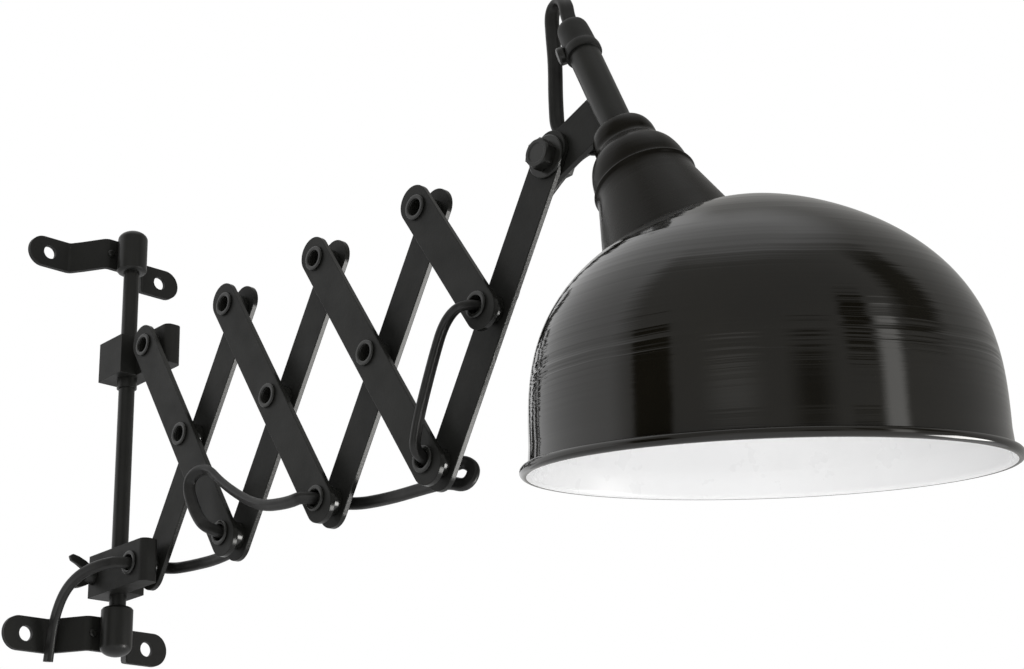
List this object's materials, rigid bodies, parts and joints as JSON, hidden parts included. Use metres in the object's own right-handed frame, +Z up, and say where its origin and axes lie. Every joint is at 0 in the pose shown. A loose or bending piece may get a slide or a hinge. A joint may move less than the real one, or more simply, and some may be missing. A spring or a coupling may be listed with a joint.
{
  "type": "scissor-arm wall lamp",
  "caption": "Wall lamp with a folding flat-bar scissor arm that slides and swings on a wall rod, ending in a tilting stem with a deep round dome shade.",
  "frame": {"origin": "centre of the four wall holes, on the wall plane", "axes": "+Z up along the guide rod, -Y out from the wall, +X to the right seen from the room side facing the wall"},
  "size_m": [0.2074, 0.6014, 0.2877],
  "materials": {
    "bar_paint": "satin black powder coat",
    "rivet_metal": "glossy black paint on rolled steel",
    "bracket_paint": "satin black powder coat",
    "rod_paint": "semi-gloss black",
    "cap_paint": "semi-gloss black",
    "collar_paint": "satin black powder coat on cast steel",
    "fastener_metal": "blackened steel",
    "shade_enamel": "gloss black enamel outside, white enamel inside",
    "neck_enamel": "gloss black enamel",
    "stem_paint": "semi-gloss black",
    "grip_plastic": "matt black",
    "holder_plastic": "matt black",
    "cord_sheath": "black flexible sheath"
  },
  "bodies": {
    "wall_frame": {"top_bracket": "bracket_paint", "bottom_bracket": "bracket_paint", "guide_rod": "rod_paint", "top_rod_cap": "cap_paint", "bottom_rod_cap": "cap_paint", "top_strap_screw": "fastener_metal", "bottom_strap_screw": "fastener_metal"},
    "lower_carriage": {"lower_collar": "collar_paint", "wing_screw": "fastener_metal", "low_pivot_0": "rivet_metal", "cord_supply": "cord_sheath"},
    "back_arm_1": {"back_bar_1": "bar_paint"},
    "front_arm_1": {"front_bar_1": "bar_paint", "top_pivot_0": "rivet_metal", "mid_pivot_1": "rivet_metal", "low_pivot_1": "rivet_metal", "cord_run_a": "cord_sheath"},
    "upper_carriage": {"upper_collar": "collar_paint", "collar_bush": "collar_paint"},
    "back_arm_2": {"back_bar_2": "bar_paint", "cord_run_b": "cord_sheath"},
    "front_arm_2": {"front_bar_2": "bar_paint", "top_pivot_1": "rivet_metal", "mid_pivot_2": "rivet_metal", "low_pivot_2": "rivet_metal"},
    "back_arm_3": {"back_bar_3": "bar_paint", "cord_run_c": "cord_sheath"},
    "front_arm_3": {"front_bar_3": "bar_paint", "top_pivot_2": "rivet_metal", "mid_pivot_3": "rivet_metal", "low_pivot_3": "rivet_metal"},
    "back_arm_4": {"back_bar_4": "bar_paint", "hinge_bolt": "fastener_metal", "hinge_nut": "fastener_metal", "cord_run_d": "cord_sheath", "cord_run_e": "cord_sheath"},
    "front_arm_4": {"front_half_bar": "bar_paint", "top_pivot_3": "rivet_metal", "mid_pivot_4": "rivet_metal"},
    "head": {"hinge_link": "stem_paint", "stem_pipe": "stem_paint", "cord_grip": "grip_plastic", "grip_screw": "fastener_metal", "neck_cover": "neck_enamel", "shade": "shade_enamel", "lamp_holder": "holder_plastic"}
  },
  "joints": [
    {"name": "swing", "type": "hinge", "parent": "wall_frame", "child": "lower_carriage", "pos_m": [0, -0.034, 0], "axis": [0, 0, 1], "range_deg": [-60, 60], "deforming": ["cord_supply"]},
    {"name": "fold", "type": "hinge", "parent": "lower_carriage", "child": "back_arm_1", "pos_m": [0, -0.063, -0.08807], "axis": [1, 0, 0], "range_deg": [-19, 42], "deforming": ["cord_supply", "cord_run_a", "cord_run_b", "cord_run_c", "cord_run_d", "cord_run_e"]},
    {"name": "mid_hinge_1", "type": "hinge", "parent": "back_arm_1", "child": "front_arm_1", "pos_m": [0, -0.10504, -0.02], "axis": [1, 0, 0], "range_deg": [-84, 38]},
    {"name": "collar_hinge", "type": "hinge", "parent": "front_arm_1", "child": "upper_carriage", "pos_m": [0, -0.063, 0.04806], "axis": [1, 0, 0], "range_deg": [-19, 42]},
    {"name": "low_hinge_1", "type": "hinge", "parent": "front_arm_1", "child": "back_arm_2", "pos_m": [0, -0.14708, -0.08807], "axis": [1, 0, 0], "range_deg": [-38, 84]},
    {"name": "mid_hinge_2", "type": "hinge", "parent": "back_arm_2", "child": "front_arm_2", "pos_m": [0, -0.18911, -0.02], "axis": [1, 0, 0], "range_deg": [-84, 38]},
    {"name": "low_hinge_2", "type": "hinge", "parent": "front_arm_2", "child": "back_arm_3", "pos_m": [0, -0.23115, -0.08807], "axis": [1, 0, 0], "range_deg": [-38, 84]},
    {"name": "mid_hinge_3", "type": "hinge", "parent": "back_arm_3", "child": "front_arm_3", "pos_m": [0, -0.27319, -0.02], "axis": [1, 0, 0], "range_deg": [-84, 38]},
    {"name": "low_hinge_3", "type": "hinge", "parent": "front_arm_3", "child": "back_arm_4", "pos_m": [0, -0.31523, -0.08807], "axis": [1, 0, 0], "range_deg": [-38, 84]},
    {"name": "mid_hinge_4", "type": "hinge", "parent": "back_arm_4", "child": "front_arm_4", "pos_m": [0, -0.35726, -0.02], "axis": [1, 0, 0], "range_deg": [-84, 38]},
    {"name": "head_tilt", "type": "hinge", "parent": "back_arm_4", "child": "head", "pos_m": [0, -0.3993, 0.04806], "axis": [1, 0, 0], "range_deg": [-40, 14], "deforming": ["cord_run_e"]}
  ],
  "couplings": [
    {"joint": "mid_hinge_1", "follows": "fold", "ratio": -2},
    {"joint": "collar_hinge", "follows": "fold", "ratio": 1},
    {"joint": "low_hinge_1", "follows": "fold", "ratio": 2},
    {"joint": "mid_hinge_2", "follows": "fold", "ratio": -2},
    {"joint": "low_hinge_2", "follows": "fold", "ratio": 2},
    {"joint": "mid_hinge_3", "follows": "fold", "ratio": -2},
    {"joint": "low_hinge_3", "follows": "fold", "ratio": 2},
    {"joint": "mid_hinge_4", "follows": "fold", "ratio": -2}
  ]
}
